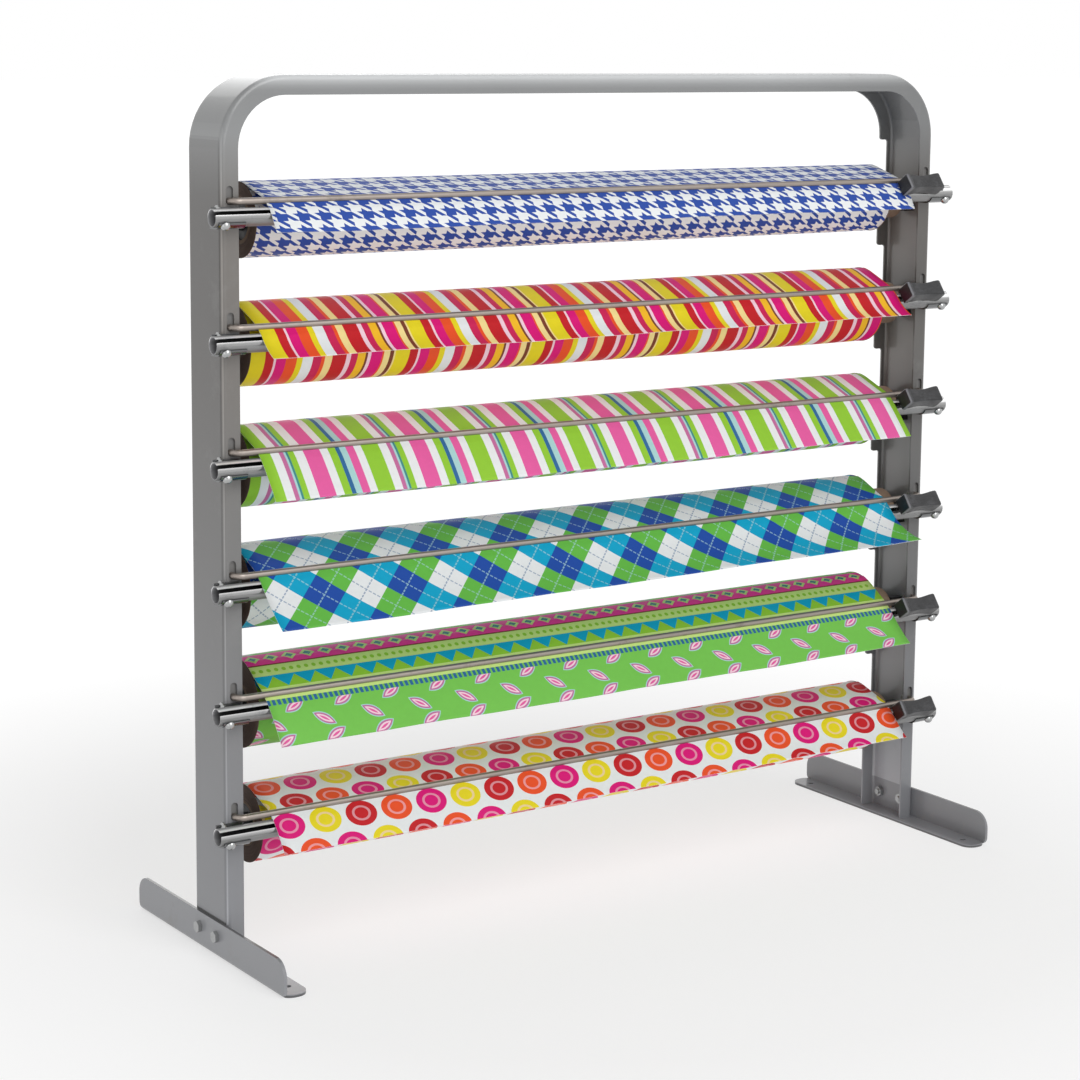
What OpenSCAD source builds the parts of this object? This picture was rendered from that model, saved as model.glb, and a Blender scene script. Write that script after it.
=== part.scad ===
// Six-roll gift wrap rack with a sliding cutter on every roll.
// X runs along the rolls, +Y points to the back, +Z is up. The origin lies on the floor, midway
// between the posts and midway between the ends of the feet.

/* [Paper rolls] */
// Width of the paper
paper_w = 762; // [500:1:950]
// Shift of the top roll, level 1, towards the left post
roll_shift_1 = 4; // [3:0.5:16]
// Shift of the roll on level 2 towards the left post
roll_shift_2 = 13; // [3:0.5:16]
// Shift of the roll on level 3 towards the left post
roll_shift_3 = 14; // [3:0.5:16]
// Shift of the roll on level 4 towards the left post
roll_shift_4 = 15; // [3:0.5:16]
// Shift of the roll on level 5 towards the left post
roll_shift_5 = 9; // [3:0.5:16]
// Shift of the bottom roll, level 6, towards the left post
roll_shift_6 = 3; // [3:0.5:16]
// Diameter of the top roll, level 1
roll_d_1 = 71; // [56:0.5:90]
// Diameter of the roll on level 2
roll_d_2 = 80; // [56:0.5:90]
// Diameter of the roll on level 3
roll_d_3 = 78; // [56:0.5:90]
// Diameter of the roll on level 4
roll_d_4 = 81; // [56:0.5:90]
// Diameter of the roll on level 5
roll_d_5 = 87; // [56:0.5:90]
// Diameter of the bottom roll, level 6
roll_d_6 = 76; // [56:0.5:90]
// Outer diameter of the cardboard core
core_d = 44.5; // [38:0.5:50]
// Wall of the cardboard core
core_wall = 3.2; // [2:0.1:5]

/* [Levels] */
// Height from one roll to the next
pitch = 114.3; // [104:0.1:140]
// Drop from the top of the frame to the top cutter track's axis
top_drop = 126.4; // [110:0.1:180]
// Height of the lowest cutter track's axis above the floor
bottom_room = 124.1; // [105:0.1:180]
// Drop from the track's axis to the roll's axis on level 1
roll_drop_1 = 6.5; // [0:0.5:14]
// Drop from the track's axis to the roll's axis on level 2
roll_drop_2 = 7; // [0:0.5:14]
// Drop from the track's axis to the roll's axis on level 3
roll_drop_3 = 7; // [0:0.5:14]
// Drop from the track's axis to the roll's axis on level 4
roll_drop_4 = 6.5; // [0:0.5:14]
// Drop from the track's axis to the roll's axis on level 5
roll_drop_5 = 4; // [0:0.5:14]
// Drop from the track's axis to the roll's axis on level 6
roll_drop_6 = 8.5; // [0:0.5:14]
// Clearance between the fullest roll and the tracks
roll_clear = 2.9; // [1.5:0.1:6]

/* [Frame] */
// Room from the paper's edge to a post's outer face, as a mean of both sides
side_room = 45; // [42:0.5:60]
// Depth of the channel from front to back
channel_d = 66; // [60:0.5:84]
// Width of the channel's flanges
flange_w = 18; // [16:0.5:22]
// Thickness of the frame's sheet steel
sheet_t = 2; // [1.5:0.1:2.5]
// Outer radius of the bends between web and flanges
edge_r = 5; // [3.5:0.5:7]
// Outer radius of the frame's top corners
corner_r = 66; // [40:1:90]
// Width left of the rear flange beside a notch
notch_flange_w = 7.5; // [6:0.5:9]
// Bottom of a notch above the roll's axis
notch_low = 8; // [4:0.5:12]
// Top of a notch above the roll's axis
notch_high = 61; // [52:0.5:66]
// Radius of the notch corners
notch_r = 3; // [1:0.5:4]

/* [Roll carriers] */
// Diameter of the plugs' journals
journal_d = 20; // [14:0.5:24]
// Length of a plug inside its core
plug_l = 25; // [15:0.5:40]
// Depth of the left plug's face inside the core
plug_recess = 3; // [1:0.5:6]
// Height of a cradle above and below the roll's axis
cradle_h = 14; // [13:0.5:18]
// Reach of a cradle in front of the roll's axis
cradle_reach = 20; // [16:0.5:24]

/* [Cutter tracks] */
// Outer diameter of the slotted track tube
track_d = 17; // [15:0.5:20]
// Wall of the track tube
track_wall = 1.2; // [0.8:0.1:1.6]
// Reach of a track past the posts' outer faces
track_over = 14; // [12:0.5:20]
// Width of the slot
slot_w = 4.2; // [3.6:0.1:5]
// Angle of the slot above the front horizontal
slot_angle = 36; // [30:1:42]
// Thickness of the track brackets
bracket_t = 1.5; // [1:0.1:2.5]
// Reach of a bracket past the post's outer face
bracket_over = 11; // [9:0.5:11.5]
// Place of the stop screws outside the posts' outer faces
stop_out = 4; // [3:0.5:5]
// Shank diameter of the bracket rivets
rivet_d = 4; // [3:0.5:4.5]
// Diameter of the rivets' countersunk heads
rivet_head_d = 7; // [6:0.2:8]
// Depth of the rivets' countersunk heads
rivet_head_h = 0.9; // [0.5:0.1:0.9]
// Diameter of the rivets' closed ends inside the posts
rivet_tail_d = 6.6; // [6:0.2:8]
// Height of the rivets' closed ends
rivet_tail_h = 2; // [1:0.1:3]
// Shank diameter of the stop screws
screw_d = 4; // [3:0.5:4.5]
// Side of the square stop nuts
stop_nut_w = 6.4; // [5.6:0.1:7]
// Thickness of the stop nuts
stop_nut_h = 2.5; // [1.5:0.1:3]
// Angle below the front horizontal where a bracket's curl ends
curl_end = 25; // [15:1:32]
// Height of the bracket plates above the track's axis
plate_up = 9; // [7:0.5:9]
// Diameter of the stop screws' dome heads
dome_d = 9.2; // [7:0.2:11]
// Height of the dome heads
dome_h = 4; // [3:0.1:4.4]
// Angle of the stop screws below the front horizontal
stop_angle = 44; // [40:1:60]

/* [Hold-down bars] */
// Diameter of the hold-down bar
bar_d = 6.4; // [5:0.1:7.5]
// Height by which a bar lifts for threading paper
bar_lift = 10; // [6:0.5:16]
// Radius of the bar's bent ends, on its centreline
bar_bend_r = 7; // [5:0.5:7.5]
// Gap between a bar at rest and its track, for the paper
bar_gap = 2.4; // [1.2:0.1:4]
// Place of the bar behind the track's axis
bar_back = 2; // [0:0.5:4]
// Reach of the bar's ends inside the posts
bar_tail = 9; // [5:0.5:15]
// Width of the keeper plates that hold a bar in the posts and cover its slots
keeper_w = 9.8; // [9:0.2:11]
// Thickness of the keeper plates
keeper_t = 2; // [1:0.5:4]

/* [Cutters] */
// Length of the cutter body
cutter_l = 48; // [42:0.5:60]
// Side of the cutter body's square section
cutter_side = 17.4; // [15:0.2:20]
// Edge radius of the cutter body
cutter_r = 2.5; // [1:0.1:4]
// Distance between the runner of the parked cutter on level 1 and the stop
park_gap_1 = 15; // [1:0.5:20]
// Distance between the runner of the parked cutter on level 2 and the stop
park_gap_2 = 9.5; // [1:0.5:20]
// Distance between the runner of the parked cutter on level 3 and the stop
park_gap_3 = 7.5; // [1:0.5:20]
// Distance between the runner of the parked cutter on level 4 and the stop
park_gap_4 = 5; // [1:0.5:20]
// Distance between the runner of the parked cutter on level 5 and the stop
park_gap_5 = 3; // [1:0.5:20]
// Distance between the runner of the parked cutter on level 6 and the stop
park_gap_6 = 2.5; // [1:0.5:20]
// Radius of the cutter body's end corners, seen from the side
cutter_end_r = 4; // [2:0.1:6]
// Length of the round foot that runs inside the track
runner_l = 46; // [38:0.5:60]
// Thickness of the neck that runs in the slot
neck_t = 2.4; // [2:0.1:2.8]
// Length of the neck
neck_l = 22; // [16:0.5:26]
// Shift of the neck towards the leading end
neck_shift = 3; // [0:0.5:5]
// Thickness of the blade
blade_t = 0.6; // [0.4:0.1:0.8]
// Length of the blade along the track
blade_l = 12; // [9:0.5:15]
// Height of the blade, from inside the runner to inside the body
blade_h = 12; // [10:0.5:15]
// Reach of the blade's tip ahead of the neck
blade_ahead = 6; // [4:0.5:8]
// Slant of the blade's cutting edge
blade_rake = 5; // [2:0.5:7]

/* [Paper ends] */
// Modelled thickness of the loose paper
paper_t = 0.6; // [0.4:0.1:0.8]
// Length of the loose end on level 1
flap_l_1 = 21; // [12:1:60]
// Length of the loose end on level 2
flap_l_2 = 26; // [12:1:60]
// Length of the loose end on level 3
flap_l_3 = 40; // [12:1:60]
// Length of the loose end on level 4
flap_l_4 = 52; // [12:1:60]
// Length of the loose end on level 5
flap_l_5 = 40; // [12:1:60]
// Length of the loose end on level 6
flap_l_6 = 29; // [12:1:60]
// Slope of the loose end on level 1 where it leaves the track
flap_slope_1 = 54; // [45:1:60]
// Slope of the loose end on level 2 where it leaves the track
flap_slope_2 = 47; // [45:1:60]
// Slope of the loose end on level 3 where it leaves the track
flap_slope_3 = 47; // [45:1:60]
// Slope of the loose end on level 4 where it leaves the track
flap_slope_4 = 47; // [45:1:60]
// Slope of the loose end on level 5 where it leaves the track
flap_slope_5 = 47; // [45:1:60]
// Slope of the loose end on level 6 where it leaves the track
flap_slope_6 = 47; // [45:1:60]
// Further droop of the loose end on level 1
flap_droop_1 = 9; // [4:1:20]
// Droop of the upturned loose end on level 2
flap_droop_2 = -19; // [-20:1:-4]
// Further droop of the loose end on level 3
flap_droop_3 = 9; // [4:1:20]
// Droop of the upturned loose end on level 4
flap_droop_4 = -18; // [-20:1:-4]
// Further droop of the loose end on level 5
flap_droop_5 = 9; // [4:1:20]
// Further droop of the loose end on level 6
flap_droop_6 = 9; // [4:1:20]

/* [Feet] */
// Length of a foot from front to back
foot_l = 300; // [240:1:420]
// Height of a foot's upright flange
foot_h = 34.5; // [31:0.5:45]
// Width of a foot's floor flange
foot_w = 27; // [24:0.5:34]
// Thickness of the foot angle
foot_t = 3; // [2:0.5:4]
// Outer radius of the bend between a foot's flanges
foot_bend_r = 4; // [2:0.5:6]
// Radius of the upright flange's top corners
foot_top_r = 17; // [4:0.5:24]
// Radius of the upright flange's bottom corners
foot_low_r = 8.5; // [2:0.5:9.5]
// Radius of the floor flange's corners
foot_plan_r = 12; // [3:0.5:12]
// Diameter of the four screw holes
foot_hole_d = 7; // [4:0.5:9]
// Distance of the screw holes from the foot's ends
foot_hole_end = 22; // [14:0.5:40]
// Distance of the screw holes from the foot's outer face
foot_hole_side = 15; // [12:0.5:17]
// Distance between the two bolts of a foot
bolt_gap = 35; // [24:0.5:40]
// Height of the bolts above the floor
bolt_z = 20; // [15:0.5:22]
// Shank diameter of the foot bolts
bolt_d = 6; // [5:0.5:8]
// Width of the bolt heads and nuts across their flats
bolt_head_w = 10; // [9:0.5:13]
// Height of the bolt heads
bolt_head_h = 4; // [3:0.1:6]
// Height of the nuts
bolt_nut_h = 5; // [3:0.1:6.5]
// Length of a bolt past its nut
bolt_tail = 2; // [0:0.5:4]

/* [Hidden] */
$fn = 48;

// Clearances
run_clear = 0.05;
loose_clear = 0.3;
hole_clear = 0.2;
slot_clear = 0.4;
pass_clear = 0.5;
core_gap = 1;
cut = 1;

// Levels, counted from the top
levels = [1, 2, 3, 4, 5, 6];
roll_d = [roll_d_1, roll_d_2, roll_d_3, roll_d_4, roll_d_5, roll_d_6];
roll_drop = [roll_drop_1, roll_drop_2, roll_drop_3, roll_drop_4, roll_drop_5, roll_drop_6];
park_gap = [park_gap_1, park_gap_2, park_gap_3, park_gap_4, park_gap_5, park_gap_6];
roll_shift = [roll_shift_1, roll_shift_2, roll_shift_3, roll_shift_4, roll_shift_5, roll_shift_6];
flap_l = [flap_l_1, flap_l_2, flap_l_3, flap_l_4, flap_l_5, flap_l_6];
flap_slope = [flap_slope_1, flap_slope_2, flap_slope_3, flap_slope_4, flap_slope_5, flap_slope_6];
flap_droop = [flap_droop_1, flap_droop_2, flap_droop_3, flap_droop_4, flap_droop_5, flap_droop_6];
function level_z(n) = bottom_room + (len(levels) - n) * pitch;
function axis_z(n) = level_z(n) - roll_drop[n - 1];

// Frame
rack_w = paper_w + 2 * side_room;
rack_h = level_z(1) + top_drop;
half_w = rack_w / 2;
web_in = half_w - sheet_t;
flange_in = half_w - flange_w;
flange_mid = half_w - flange_w / 2;
front_y = -channel_d / 2;
front_in_y = front_y + sheet_t;

// Tracks and what sits on them
track_r = track_d / 2;
track_in_r = track_r - track_wall;
track_y = front_y - bracket_t - run_clear - track_r;
track_l = rack_w + 2 * track_over;
curl_r = track_r + run_clear + bracket_t;
stop_x = half_w + stop_out;
stop_nut_r = sqrt(pow(track_in_r - run_clear, 2) - pow(stop_nut_w / 2, 2));

// Hold-down bars
bar_r = bar_d / 2;
bar_y = track_y + bar_back;
bar_up = track_r + bar_r + bar_gap;
keeper_y = front_in_y + pass_clear;

// Rolls
max_roll_r = max(roll_d) / 2;
roll_y = track_y + sqrt(pow(track_r + roll_clear + max_roll_r, 2) - pow(min(roll_drop), 2));
function paper_left(n) = -paper_w / 2 - roll_shift[n - 1];
function paper_right(n) = paper_left(n) + paper_w;
core_right = flange_in - core_gap;
core_in_r = core_d / 2 - core_wall;
journal_end = half_w - notch_flange_w - pass_clear;
function plug_face(n) = -paper_left(n) - plug_recess;
cradle_in = flange_in + pass_clear;

// Cutters: the body stands off the track by the room that the paper needs
stand_off = track_r + paper_t + 4 * loose_clear;
runner_r = track_in_r - loose_clear;
function cutter_x(n) = stop_x - stop_nut_w / 2 - park_gap[n - 1] - runner_l / 2;
neck_mid = -neck_shift;
blade_root = track_in_r - 3;
blade_tip = blade_root + blade_h;
blade_lead = neck_mid - neck_l / 2 - blade_ahead;

// Loose paper, as radii of its middle surface
paper_off = loose_clear + paper_t / 2;
slit = asin((neck_t / 2 + loose_clear) / (track_r + paper_off)) + 1;
slot_tilt = 90 - slot_angle;
roll_wrap = 15;

frame_grey = [0.52, 0.53, 0.55];
chrome = [0.85, 0.86, 0.88];
steel = [0.55, 0.53, 0.51];
black = [0.13, 0.13, 0.14];
cardboard = [0.42, 0.34, 0.27];
paper_colour = [[0.25, 0.38, 0.72], [0.88, 0.24, 0.35], [0.62, 0.80, 0.33], [0.13, 0.55, 0.75],
                [0.45, 0.80, 0.25], [0.93, 0.50, 0.25]];

module each_side() {
  for (side = [0, 1]) mirror([side, 0, 0]) children();
}

// Turns a flat shape drawn in Y and Z into a bar along X, centred on x
module along_x(l, x = 0) {
  translate([x, 0, 0]) rotate([90, 0, 90]) linear_extrude(l, center = true) children();
}

// Turns a flat shape drawn in X and Z into a cutter through Y, from y0 to y1
module along_y(y0, y1) {
  translate([0, y1, 0]) rotate([90, 0, 0]) linear_extrude(y1 - y0) children();
}

module rounded(w, h, r) {
  square([w - 2 * r, h], center = true);
  square([w, h - 2 * r], center = true);
  for (x = [-1, 1], y = [-1, 1]) translate([x * (w / 2 - r), y * (h / 2 - r)]) circle(r);
}

// A hole or pin along X or Y
module rod_x(r, x0, x1, y, z) {
  translate([x0, y, z]) rotate([0, 90, 0]) cylinder(r = r, h = x1 - x0);
}
module rod_y(r, y0, y1, x, z) {
  translate([x, y0, z]) rotate([-90, 0, 0]) cylinder(r = r, h = y1 - y0);
}

// Frame: one channel bent into an upturned U
module channel_profile() {
  inner_r = edge_r - sheet_t;
  difference() {
    union() {
      translate([edge_r, front_y]) square([flange_w - edge_r, channel_d]);
      translate([0, front_y + edge_r]) square([flange_w, channel_d - 2 * edge_r]);
      for (y = [-1, 1]) translate([edge_r, y * (channel_d / 2 - edge_r)]) circle(edge_r);
    }
    translate([edge_r, front_in_y]) square([flange_w, channel_d - 2 * sheet_t]);
    translate([sheet_t, front_y + edge_r]) square([flange_w, channel_d - 2 * edge_r]);
    for (y = [-1, 1]) translate([edge_r, y * (channel_d / 2 - edge_r)]) circle(inner_r);
  }
}

module bent_channel() {
  each_side() {
    translate([-half_w, 0, foot_t]) linear_extrude(rack_h - corner_r - foot_t) channel_profile();
    translate([half_w - corner_r, 0, rack_h - corner_r]) rotate([90, 0, 0])
      rotate_extrude(angle = 90) translate([corner_r, 0]) mirror([1, 0]) channel_profile();
  }
  translate([corner_r - half_w, 0, rack_h]) rotate([0, 90, 0])
    linear_extrude(rack_w - 2 * corner_r) channel_profile();
}

// Rear flange cut-back through which a roll's end lifts out, with rounded mouths
module notch_outline(n) {
  notch_w = rack_w - 2 * notch_flange_w;
  notch_h = notch_high - notch_low;
  mid_z = axis_z(n) + (notch_high + notch_low) / 2;
  translate([0, mid_z]) {
    rounded(notch_w, notch_h, notch_r);
    for (x = [-1, 1], z = [-1, 1]) scale([x, z]) translate([flange_in, notch_h / 2]) difference() {
      translate([-cut, -cut]) square([notch_r + cut, notch_r + cut]);
      translate([notch_r, notch_r]) circle(notch_r);
    }
  }
}

// Upright oblong from the bar's rest to its lifted place
module lift_outline(r) {
  circle(r);
  translate([0, bar_lift]) circle(r);
  translate([-r, 0]) square([2 * r, bar_lift]);
}

module bar_slot_outline(n) {
  for (x = [-flange_mid, flange_mid]) translate([x, level_z(n) + bar_up]) lift_outline(bar_r + slot_clear);
}

module frame_channel() {
  color(frame_grey) difference() {
    bent_channel();
    for (n = levels) {
      along_y(-front_in_y - cut, -front_y + cut) notch_outline(n);
      along_y(front_y - cut, front_in_y + cut) bar_slot_outline(n);
      each_side() rod_y(rivet_d / 2 + hole_clear, front_y - cut, front_in_y + cut, flange_mid, level_z(n));
    }
    each_side() for (y = [-1, 1])
      rod_x(bolt_d / 2 + hole_clear, web_in - cut, half_w + cut, y * bolt_gap / 2, bolt_z);
  }
}

// Feet: steel angles outside the posts, with rounder corners at the top of the upright flange
module foot() {
  outer = half_w + foot_t;
  difference() {
    union() {
      along_x(foot_t, half_w + foot_t / 2) intersection() {
        rounded(foot_l, 2 * foot_h, foot_top_r);
        translate([0, foot_h]) rounded(foot_l, 2 * foot_h, foot_low_r);
      }
      translate([outer - foot_w / 2, 0, 0]) linear_extrude(foot_t) rounded(foot_w, foot_l, foot_plan_r);
    }
    along_y(-foot_l / 2 - cut, foot_l / 2 + cut) translate([outer - foot_bend_r, foot_bend_r]) difference() {
      translate([0, -foot_bend_r - cut]) square(foot_bend_r + cut);
      circle(foot_bend_r);
    }
    for (y = [-1, 1]) {
      rod_x(bolt_d / 2 + hole_clear, half_w - cut, outer + cut, y * bolt_gap / 2, bolt_z);
      translate([outer - foot_hole_side, y * (foot_l / 2 - foot_hole_end), -cut])
        cylinder(d = foot_hole_d, h = foot_t + 2 * cut);
    }
  }
}
module foot_right() { color(frame_grey) foot(); }
module foot_left() { color(frame_grey) mirror([1, 0, 0]) foot(); }

module foot_bolts() {
  outer = half_w + foot_t;
  tip = web_in - bolt_nut_h - bolt_tail;
  color(chrome) each_side() for (y = [-1, 1]) {
    rod_x(bolt_d / 2, tip, outer + bolt_head_h, y * bolt_gap / 2, bolt_z);
    translate([outer, y * bolt_gap / 2, bolt_z]) rotate([0, 90, 0])
      cylinder(d = bolt_head_w / cos(30), h = bolt_head_h, $fn = 6);
  }
}

module foot_nuts() {
  color(chrome) each_side() for (y = [-1, 1]) difference() {
    translate([web_in - bolt_nut_h, y * bolt_gap / 2, bolt_z]) rotate([0, 90, 0])
      cylinder(d = bolt_head_w / cos(30), h = bolt_nut_h, $fn = 6);
    rod_x(bolt_d / 2 + run_clear, web_in - bolt_nut_h - cut, web_in + cut, y * bolt_gap / 2, bolt_z);
  }
}

// Cradles inside the channels, open upwards for the plugs' journals
module cradle_profile() {
  fit_r = edge_r - sheet_t + loose_clear;
  cradle_front = roll_y - cradle_reach;
  cradle_back = -front_in_y;
  depth = web_in - cradle_in;
  translate([cradle_in, cradle_front]) {
    square([depth - fit_r, cradle_back - cradle_front]);
    square([depth, cradle_back - cradle_front - fit_r]);
  }
  translate([web_in - fit_r, cradle_back - fit_r]) circle(fit_r);
}

module roll_cradles() {
  seat_r = journal_d / 2 + run_clear;
  color(black) for (n = levels) each_side() difference() {
    translate([0, 0, axis_z(n) - cradle_h]) linear_extrude(2 * cradle_h) cradle_profile();
    rod_x(seat_r, cradle_in - cut, web_in + cut, roll_y, axis_z(n));
    translate([cradle_in - cut, roll_y - seat_r, axis_z(n)])
      cube([web_in - cradle_in + 2 * cut, 2 * seat_r, cradle_h + cut]);
  }
}

// Brackets behind and under the track ends
module bracket_profile() {
  translate([front_y - bracket_t, -curl_r]) square([bracket_t, curl_r + plate_up]);
  translate([track_y, -curl_r]) square([front_y - track_y, bracket_t]);
  translate([track_y, 0]) difference() {
    circle(curl_r);
    circle(curl_r - bracket_t);
    translate([0, -curl_r - cut]) square(3 * curl_r);
    rotate(180 + curl_end) translate([0, -3 * curl_r]) square(3 * curl_r);
    translate([-curl_r - cut, 0]) square(3 * curl_r);
  }
}

// Places a piece on a track's skin at an angle above the front horizontal, with its Z pointing outwards
module on_track(n, x, angle) {
  translate([x, track_y, level_z(n)]) rotate([90 - angle, 0, 0]) children();
}

// Countersunk rivet head in a bracket, grown by a clearance and carried on in front of the bracket
module rivet_head(grow, ahead) {
  slope = (rivet_head_d - rivet_d) / rivet_head_h;
  translate([flange_mid, front_y - bracket_t - ahead, 0]) rotate([-90, 0, 0])
    cylinder(d1 = rivet_head_d + 2 * grow + slope * ahead, d2 = rivet_d + 2 * grow, h = rivet_head_h + ahead);
}

module track_brackets() {
  bracket_l = flange_w / 2 + bracket_over + rivet_head_d;
  color(chrome) for (n = levels) each_side() difference() {
    translate([0, 0, level_z(n)]) along_x(bracket_l, half_w + bracket_over - bracket_l / 2) bracket_profile();
    translate([0, 0, level_z(n)]) rivet_head(run_clear, cut);
    rod_y(rivet_d / 2 + run_clear, front_y - bracket_t - cut, front_y + cut, flange_mid, level_z(n));
    on_track(n, stop_x, -stop_angle) cylinder(d = screw_d + 2 * hole_clear, h = curl_r + cut);
  }
}

module bracket_rivets() {
  color(chrome) for (n = levels) each_side() {
    translate([0, 0, level_z(n)]) rivet_head(0, 0);
    rod_y(rivet_d / 2, front_y - bracket_t, front_in_y + rivet_tail_h, flange_mid, level_z(n));
    rod_y(rivet_tail_d / 2, front_in_y, front_in_y + rivet_tail_h, flange_mid, level_z(n));
  }
}

// Slotted track tubes
module cutter_track(n) {
  color(chrome) difference() {
    translate([0, 0, level_z(n)]) along_x(track_l) translate([track_y, 0]) difference() {
      circle(track_r);
      circle(track_in_r);
      rotate(180 - slot_angle) translate([0, -slot_w / 2]) square([track_d, slot_w]);
    }
    for (x = [-stop_x, stop_x])
      on_track(n, x, -stop_angle) cylinder(d = screw_d + 2 * hole_clear, h = curl_r + cut);
  }
}

module stop_screws() {
  dome_r = (pow(dome_d / 2, 2) + pow(dome_h, 2)) / (2 * dome_h);
  tip = stop_nut_r - stop_nut_h - cut;
  color(chrome) for (n = levels) each_side() on_track(n, stop_x, -stop_angle) {
    translate([0, 0, tip]) cylinder(d = screw_d, h = curl_r - tip + dome_h / 2);
    translate([0, 0, curl_r]) intersection() {
      translate([0, 0, dome_h - dome_r]) sphere(dome_r);
      cylinder(d = dome_d, h = dome_h);
    }
  }
}

module stop_nuts() {
  color(steel) for (n = levels) each_side() on_track(n, stop_x, -stop_angle) difference() {
    translate([-stop_nut_w / 2, -stop_nut_w / 2, stop_nut_r - stop_nut_h])
      cube([stop_nut_w, stop_nut_w, stop_nut_h]);
    cylinder(d = screw_d + 2 * run_clear, h = track_r);
  }
}

// Hold-down bars: rods with both ends bent back through slots in the posts to a keeper plate
module hold_bar(n) {
  straight = flange_mid - bar_bend_r;
  tail_y = front_in_y + bar_tail;
  color(steel) translate([0, 0, level_z(n) + bar_up]) {
    rod_x(bar_r, -straight, straight, bar_y, 0);
    each_side() {
      translate([straight, bar_y + bar_bend_r, 0]) rotate([0, 0, -90])
        rotate_extrude(angle = 90) translate([bar_bend_r, 0]) circle(bar_r);
      rod_y(bar_r, bar_y + bar_bend_r, tail_y, flange_mid, 0);
      along_y(keeper_y, keeper_y + keeper_t) translate([flange_mid, 0]) lift_outline(keeper_w / 2);
    }
  }
}

// Rolls: wound paper, its core and the plugs that carry it
module paper_roll(n) {
  color(paper_colour[n - 1]) difference() {
    rod_x(roll_d[n - 1] / 2, paper_left(n), paper_right(n), roll_y, axis_z(n));
    rod_x(core_d / 2 + run_clear, paper_left(n) - cut, paper_right(n) + cut, roll_y, axis_z(n));
  }
}

module roll_core(n) {
  color(cardboard) difference() {
    rod_x(core_d / 2, paper_left(n), core_right, roll_y, axis_z(n));
    rod_x(core_in_r, paper_left(n) - cut, core_right + cut, roll_y, axis_z(n));
  }
}

module roll_plugs(n) {
  color(black) each_side() {
    rod_x(core_in_r - run_clear, plug_face(n) - plug_l, plug_face(n), roll_y, axis_z(n));
    rod_x(journal_d / 2, plug_face(n) - plug_l, journal_end, roll_y, axis_z(n));
  }
}

// Cutters: a body outside the track, a neck in the slot and a round runner inside the tube
module cutter_body(n) {
  color(black) difference() {
    union() {
      intersection() {
        along_x(cutter_l, cutter_x(n)) translate([track_y, level_z(n)]) rotate(180 - slot_angle)
          translate([stand_off + cutter_side / 2, 0]) rounded(cutter_side, cutter_side, cutter_r);
        on_track(n, cutter_x(n), slot_angle) translate([0, 0, stand_off + cutter_side / 2])
          rotate([90, 0, 0]) linear_extrude(2 * cutter_side, center = true)
            rounded(cutter_l, cutter_side, cutter_end_r);
      }
      along_x(neck_l, cutter_x(n) + neck_mid) translate([track_y, level_z(n)]) rotate(180 - slot_angle)
        translate([0, -neck_t / 2]) square([stand_off + cutter_r, neck_t]);
      along_x(runner_l, cutter_x(n)) translate([track_y, level_z(n)]) circle(runner_r);
    }
    blade_shape(n, run_clear);
  }
}

// Blade outline in X and the slot's direction, raked at its leading edge
module blade_shape(n, grow) {
  on_track(n, cutter_x(n), slot_angle) rotate([90, 0, 0])
    linear_extrude(blade_t + 2 * grow, center = true) polygon([
      [blade_lead + blade_rake - grow, blade_root - grow],
      [blade_lead + blade_l + grow, blade_root - grow],
      [blade_lead + blade_l + grow, blade_tip + grow],
      [blade_lead - grow, blade_tip + grow]]);
}

module cutter_blade(n) {
  color(steel) blade_shape(n, 0);
}

// Loose paper: from the roll under the bar to the slot, and on from the slot as a hanging end
function arc(c, r, a0, a1, steps) =
  [for (i = [0:steps]) let (a = a0 + (a1 - a0) * i / steps) c + r * [-sin(a), cos(a)]];
function backwards(list) = [for (i = [len(list) - 1:-1:0]) list[i]];

function roll_at(n) = [roll_y - track_y, -roll_drop[n - 1]];
function bar_at() = [bar_y - track_y, bar_up];
// Tilt of the paper between roll and bar, and between bar and track, from the horizontal
function roll_tilt(n) =
  let (u = bar_at() - roll_at(n), reach = roll_d[n - 1] / 2 + bar_r + 2 * paper_off)
  atan2(-u[0], u[1]) - acos(reach / norm(u));
function bar_tilt() =
  let (u = bar_at(), reach = track_r + bar_r + 2 * paper_off)
  atan2(-u[0], u[1]) + acos(reach / norm(u));

function web_side(n, off) = concat(
  arc(roll_at(n), roll_d[n - 1] / 2 + paper_off + off, roll_tilt(n) - roll_wrap, roll_tilt(n), 6),
  arc(bar_at(), off - bar_r - paper_off, roll_tilt(n), bar_tilt(), 6),
  arc([0, 0], track_r + paper_off + off, bar_tilt(), slot_tilt - slit, 8));

function flap_side(n, off) =
  let (slope = flap_slope[n - 1], droop = flap_droop[n - 1], start = slot_tilt + slit,
       bend_r = flap_l[n - 1] * 180 / (PI * droop),
       root = (track_r + paper_off) * [-sin(start), cos(start)],
       c = root - bend_r * [-sin(slope), cos(slope)])
  arc(c, bend_r + off, slope, slope + droop, 6);

module paper_sheet(n) {
  half_t = paper_t / 2;
  color(paper_colour[n - 1]) translate([0, track_y, level_z(n)])
    along_x(paper_w, -roll_shift[n - 1]) {
      polygon(concat(web_side(n, half_t), backwards(web_side(n, -half_t))));
      polygon(concat(flap_side(n, half_t), backwards(flap_side(n, -half_t))));
    }
}

FIXED = ["frame_channel", "foot_left", "foot_right", "foot_bolts", "foot_nuts", "roll_cradles",
         "track_brackets", "bracket_rivets", "stop_screws", "stop_nuts"];
PER_LEVEL = ["paper_roll", "roll_core", "roll_plugs", "paper_sheet", "cutter_track", "hold_bar",
             "cutter_body", "cutter_blade"];

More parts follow.
